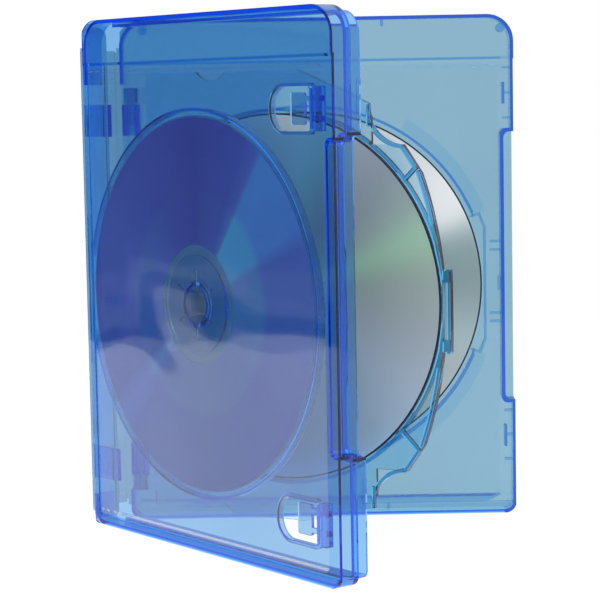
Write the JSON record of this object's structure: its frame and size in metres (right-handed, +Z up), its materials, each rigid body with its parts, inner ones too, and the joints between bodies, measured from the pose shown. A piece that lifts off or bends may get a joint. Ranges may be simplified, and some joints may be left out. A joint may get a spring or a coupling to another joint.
{
  "type": "blu-ray case",
  "caption": "Slim snap-shut disc case in clear blue plastic with living hinges at its spine, a swinging inner tray, snap hubs with discs and clear outer sleeve film.",
  "frame": {"origin": "on the rest plane, under the middle of the back cover's bottom wall", "axes": "+Z up the case, +X from the spine hinge to the back cover's free edge, the inside of the back cover faces -Y"},
  "size_m": [0.1466, 0.1156, 0.1715],
  "materials": {
    "blue_clear_plastic": "polished, see-through, tinted blue",
    "tray_clear_plastic": "polished, see-through, lighter blue",
    "disc_polycarbonate": "mirror bright reflective layer under clear plastic",
    "clear_film": "glossy clear film"
  },
  "bodies": {
    "back_cover": {"back_cover": "blue_clear_plastic", "back_disc": "disc_polycarbonate", "back_film": "clear_film"},
    "spine": {"spine": "blue_clear_plastic", "spine_film": "clear_film"},
    "front_cover": {"front_cover": "blue_clear_plastic", "front_disc": "disc_polycarbonate", "front_film": "clear_film"},
    "swing_tray": {"swing_tray": "tray_clear_plastic", "tray_disc": "disc_polycarbonate"}
  },
  "joints": [
    {"name": "spine_hinge", "type": "hinge", "parent": "back_cover", "child": "spine", "pos_m": [-0.0675, 0.00373, 0.08], "axis": [0, 0, -1], "range_deg": [-52, 38]},
    {"name": "front_hinge", "type": "hinge", "parent": "spine", "child": "front_cover", "pos_m": [-0.07932, -0.00551, 0.08], "axis": [0, 0, -1], "range_deg": [0, 90]},
    {"name": "tray_swing", "type": "hinge", "parent": "back_cover", "child": "swing_tray", "pos_m": [-0.062, -0.00202, 0.08], "axis": [0, 0, -1], "range_deg": [-32.24, 23.56]}
  ],
  "couplings": [
    {"joint": "tray_swing", "follows": "spine_hinge", "ratio": 0.62}
  ]
}
